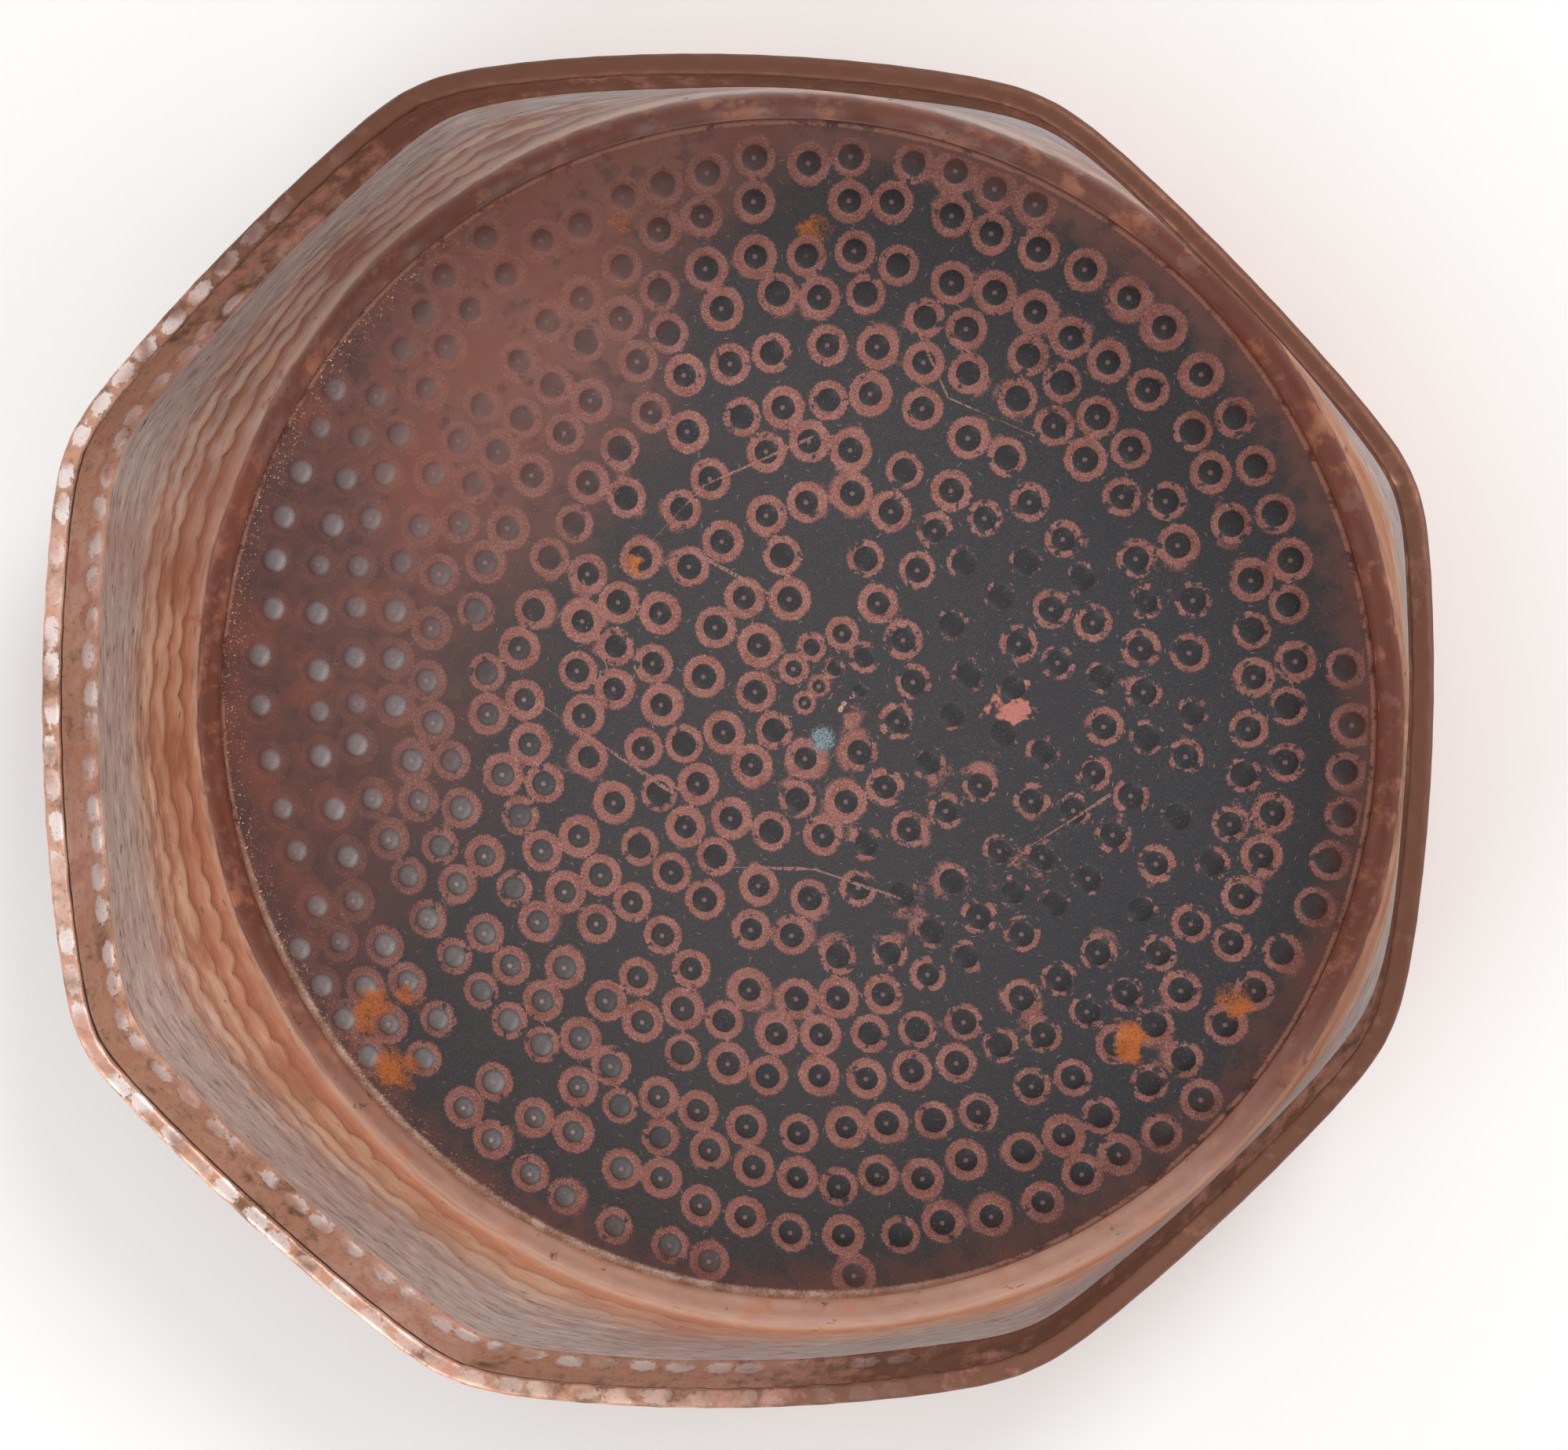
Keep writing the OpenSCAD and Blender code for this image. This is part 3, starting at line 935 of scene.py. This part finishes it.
def wall_material():
    n = Nodes("wall_copper")
    x, y, z = n.parts(n.place)
    facet = n.parts(n.attribute("chance"))[2]
    broad = n.noise(0.02, 3, 0.5, offset=31)
    cloud = n.noise(0.12, 4, 0.6, offset=12)
    fine = streaks(n, 0.09, 6, 8)
    hair = streaks(n, 0.12, 9, 55)
    grain = n.noise(2.2, 3, 0.7)

    # Bands up the wall: dark red-brown at the foot, partly its own tone and partly painted shade; orange low
    # and grey higher, partly copper tone and partly painted reflection of floor and sky
    height = n.add(z, n.sway(cloud, 9), n.sway(fine, 8))
    # Painted light: the wall toward low y is lighter, and its bands sit higher, as it faces the lamps
    lit_near_side = n.step(y, -60, -165)
    height = n.add(height, (lit_near_side, 8))
    # Painted light: the wall is brightened away from the left, toward the right, top and bottom
    painted_brightening = n.step(n.add((x, 0.8), n.mul(n.math("ABSOLUTE", y), 0.45)), -40, 110)
    low = n.tones((118, 70, 57), (186, 146, 128), lit_near_side)
    colour = n.coat(low, (180, 120, 92), n.step(n.add(z, n.sway(fine, 4)), 1.4, 4.6))
    colour = n.coat(colour, (190, 144, 118), n.step(height, 12, 22))
    colour = n.coat(colour, (172, 148, 138), n.step(height, 20, 33))
    grey_side = n.step(n.add(y, (x, -0.3)), 60, 170)
    colour = n.coat(colour, (168, 153, 147), n.mul(grey_side, n.step(z, 0.8, 2.6), 0.8))
    colour = n.coat(colour, (202, 132, 98), n.mul(n.step(fine, 0.52, 0.66), n.step(z, 36, 24), 0.4))
    strong = n.step(x, 40, -110, 0.35, 1)
    facet = n.add(facet, n.sway(fine, 0.5), n.sway(cloud, 0.4))
    # Hammer rows: lighter crests and darker hollows, partly wear and patina and partly painted light and
    # shade
    worn = n.mul(n.step(facet, 0.4, 1), n.step(z, 1.4, 2.2), strong)
    colour = n.coat(colour, (192, 153, 126), n.mul(worn, n.step(z, 34, 26, 0.15, 0.75)))
    hollow_tone_and_shade = n.mul(n.step(facet, 0.5, 0.05), n.step(z, 2.2, 4), strong, n.add(1, (lit_near_side, -0.5)))
    colour = n.coat(colour, (150, 88, 62), n.mul(hollow_tone_and_shade, n.step(z, 34, 22, 0.08, 0.7)))
    colour = n.coat(colour, (112, 86, 78), n.mul(n.step(hair, 0.52, 0.66), n.step(z, 14, 30, 0.15, 0.55)))
    colour = n.coat(colour, (212, 182, 166), n.mul(n.step(hair, 0.46, 0.34), n.step(z, 12, 30, 0.1, 0.4)))
    colour = n.coat(colour, (150, 84, 60), n.step(broad, 0.5, 0.75, 0, 0.35))
    dark_spot = n.step(streaks(n, 0.15, 5, 77), 0.64, 0.72)
    colour = n.coat(colour, (92, 62, 54), n.mul(dark_spot, 0.75))
    # The painted light set up above, laid on as a paler copy of the colour
    paler = n.mix(colour, (1.6, 2, 2.25, 1), 1, "MULTIPLY")
    painted_brightening = n.mul(painted_brightening, n.step(z, 0.8, 3, 0.35, 0.95), n.add(1, (lit_near_side, -0.36)))
    colour = n.mix(colour, paler, painted_brightening)
    red = n.mul(n.step(cloud, 0.6, 0.75), n.step(z, 16, 4), n.rest(lit_near_side))
    colour = n.coat(colour, (136, 60, 40), n.mul(red, 0.6))

    roughness = n.add(0.5, (hair, 0.12), (cloud, 0.1))
    bump = n.add((hair, 1), (grain, 0.3), (fine, 1.2))
    n.shader.inputs["Specular IOR Level"].default_value = 0.35
    return n.finish(colour, n.step(z, 3, 14, 0.1, 0.22), roughness, bump, 0.6, 0.35)


def rim_material():
    n = Nodes("rim_copper")
    x, y, z = n.parts(n.place)
    facet = n.parts(n.attribute("chance"))[2]
    seam = n.attribute("seam", "Fac")
    broad = n.noise(0.016, 3, 0.5, offset=61)
    cloud = n.noise(0.14, 4, 0.62, offset=23)
    fine = n.noise(0.6, 4, 0.65, offset=3)
    grain = n.noise(2.4, 3, 0.7)
    hair = streaks(n, 0.6, 5, 15)

    on_bead = n.step(z, 61.5, 63.5)
    colour = n.tones((214, 156, 136), (234, 190, 166), n.step(cloud, 0.35, 0.65))
    # The rim's lower-left side, where the lamps are mirrored: painted light goes there below, and painted
    # shade on the far side
    lit_rim_side = n.add((x, -0.9), (y, -0.45), n.sway(broad, 120))
    lit_rim_side = n.step(lit_rim_side, 0, 140)
    colour = n.coat(colour, (206, 160, 112), n.mul(n.step(broad, 0.45, 0.62), lit_rim_side, 0.3))
    shaded_rim_side = n.rest(lit_rim_side)
    # Tarnish in patches, with painted shade added on the side away from the lamps
    tarnish_and_shade = n.add((broad, 0.4), (cloud, 0.6), (shaded_rim_side, 0.18), (on_bead, 0.06))
    tarnish_and_shade = n.step(tarnish_and_shade, 0.5, 0.7)
    colour = n.coat(colour, (118, 74, 54), n.mul(tarnish_and_shade, 0.88))
    # Painted shade: the bead darker on its far side, most toward the top
    colour = n.coat(colour, (92, 54, 38), n.mul(on_bead, shaded_rim_side, n.step(y, -170, -60, 0.35, 0.7)))
    between = n.mul(n.step(facet, 0.55, 1), n.step(fine, 0.35, 0.6), lit_rim_side, 0.4)
    colour = n.coat(colour, (122, 76, 56), between)
    # Painted highlights: white on the flats of the collar's lowest row and of the bead, on the lit side,
    # broken up, and fewer low on the bead
    each = n.noise(0.085, 1, 0.4, offset=48)
    flat_edge = n.add(facet, n.sway(fine, 0.7), n.sway(hair, 0.4))
    flat = n.mul(n.step(flat_edge, 0.36, 0.22), n.most(n.step(z, 51.5, 49.5), n.step(z, 62, 64)))
    highlight_breakup = n.step(n.add((fine, 0.6), (grain, 0.4)), 0.3, 0.5, 0.45, 1)
    highlight_fade_below = n.rest(n.mul(on_bead, n.step(y, -110, -180), 0.65))
    flat = n.mul(flat, lit_rim_side, n.step(each, 0.36, 0.56, 0.15, 0.85), highlight_breakup, highlight_fade_below)
    colour = n.coat(colour, (250, 238, 234), flat)
    colour = n.coat(colour, (110, 66, 50), n.mul(n.step(fine, 0.56, 0.72), 0.5))
    # Painted shade: the seam, where the collar passes in behind the lip, is darkened on both sides
    seam_shade = n.step(n.add(seam, n.sway(fine, 0.7)), 0.95, 0.45)
    colour = n.coat(colour, (38, 22, 18), n.mul(seam_shade, 0.95))
    glint = n.mul(n.step(seam, 0.7, 0.9), n.step(seam, 1.7, 1.2), n.step(cloud, 0.52, 0.6))
    colour = n.coat(colour, (246, 216, 196), n.mul(glint, n.add(0.08, (lit_rim_side, 0.42))))

    roughness = n.add(0.27, (fine, 0.16), (tarnish_and_shade, 0.14), (seam_shade, 0.3))
    bump = n.add((fine, 0.6), (grain, 0.3), (hair, 0.3))
    return n.finish(colour, n.sub(0.58, n.mul(seam_shade, 0.5)), roughness, bump, 0.5, 0.3)


def outside_material(name, warm, pale, dark):
    n = Nodes(name)
    z = n.parts(n.place)[2]
    facet = n.parts(n.attribute("chance"))[2]
    broad = n.noise(0.02, 3, 0.5, offset=83)
    cloud = n.noise(0.1, 4, 0.62, offset=29)
    fine = n.noise(0.55, 4, 0.65, offset=9)
    grain = n.noise(2.4, 3, 0.7)
    hair = streaks(n, 0.4, 5, 35)

    colour = n.tones(warm, pale, n.step(cloud, 0.35, 0.68))
    colour = n.coat(colour, dark, n.mul(n.step(n.add(broad, (cloud, 0.3)), 0.55, 0.85), 0.7))
    colour = n.coat(colour, dark, n.mul(n.step(hair, 0.55, 0.72), 0.4))
    colour = n.coat(colour, pale, n.mul(n.step(facet, 0.35, 0.05), 0.35))
    scuff = n.mul(n.step(z, 5, 1), n.step(fine, 0.42, 0.6))
    colour = n.coat(colour, (196, 146, 124), n.mul(scuff, 0.4))
    roughness = n.add(0.36, (fine, 0.18), (cloud, 0.1))
    bump = n.add((fine, 0.5), (grain, 0.3), (hair, 0.4))
    return n.finish(colour, 0.8, roughness, bump, 0.4, 0.25)


def wire_material():
    n = Nodes("iron_wire")
    grain = n.noise(1.2, 4, 0.6)
    colour = n.tones((104, 98, 94), (74, 60, 52), n.step(grain, 0.4, 0.65))
    return n.finish(colour, 0.85, n.add(0.4, (grain, 0.2)), grain, 0.2, 0.1)


# ---- pieces
tray = bpy.data.objects.new("hammered_tray", build_mesh(build_sheet()))
scene = bpy.context.scene
scene.collection.objects.link(tray)
for material in (
    floor_material(),
    wall_material(),
    rim_material(),
    outside_material("outer_copper", (150, 96, 72), (188, 132, 104), (92, 60, 48)),
    outside_material("underside_copper", (120, 78, 62), (158, 110, 90), (72, 54, 48)),
):
    tray.data.materials.append(material)
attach(tray, "root")
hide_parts("tray_body")

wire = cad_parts["rim_wire"]
wire.data.materials.clear()
wire.data.materials.append(wire_material())


# ---- stage, lights and camera
def make_stage():
    size = 4.0
    corners_xy = [(-size, -size), (size, -size), (size, size), (-size, size)]
    mesh = bpy.data.meshes.new("stage_floor")
    mesh.from_pydata([(cx, cy, 0.0) for cx, cy in corners_xy], [], [(0, 1, 2, 3)])
    stage = bpy.data.objects.new("stage_floor", mesh)
    scene.collection.objects.link(stage)
    n = Nodes("stage_paint")
    paint = n.mix((0.86, 0.86, 0.86, 1.0), (0.88, 0.88, 0.88, 1.0), n.noise(0.01))
    mesh.materials.append(n.finish(paint, 0.0, 0.9, 0.0, 0.0))
    stage.location.z = body_low.z - 0.0002


def add_light(name, place, aim, size, power):
    data = bpy.data.lights.new(name, "AREA")
    data.shape = "DISK"
    data.size = size
    data.energy = power
    light = bpy.data.objects.new(name, data)
    light.location = place
    light.rotation_euler = (Vector(aim) - Vector(place)).to_track_quat("-Z", "Y").to_euler()
    scene.collection.objects.link(light)


def make_lights():
    world = bpy.data.worlds.new("studio")
    world.use_nodes = True
    world.node_tree.nodes["Background"].inputs["Color"].default_value = (1.0, 0.99, 0.98, 1.0)
    world.node_tree.nodes["Background"].inputs["Strength"].default_value = 0.74
    scene.world = world
    add_light("key", (0.85, 1.15, 1.2), (0.0, 0.0, 0.0), 0.6, 13.0)
    add_light("low_right", (1.3, 0.3, 0.5), (-0.1, 0.0, 0.05), 0.7, 4.5)
    add_light("low_front", (-1.0, -1.1, 0.6), (0.08, 0.1, 0.03), 0.8, 10.5)


def make_camera():
    place = Vector((0.2143, 0.0989, 0.8808))
    aim = Vector((0.0089, -0.0002, 0.0025))
    roll = math.radians(-0.58)
    back = (place - aim).normalized()
    hint = Vector((-math.sin(roll), math.cos(roll), 0.0))
    right = hint.cross(back).normalized()
    up = back.cross(right)
    data = bpy.data.cameras.new("camera")
    data.lens = 70.3
    data.sensor_width = 36.0
    camera = bpy.data.objects.new("camera", data)
    camera.matrix_world = Matrix.Translation(place) @ Matrix((right, up, back)).transposed().to_4x4()
    scene.collection.objects.link(camera)
    scene.camera = camera


make_stage()
make_lights()
make_camera()
bpy.context.scene.view_settings.view_transform = "Standard"
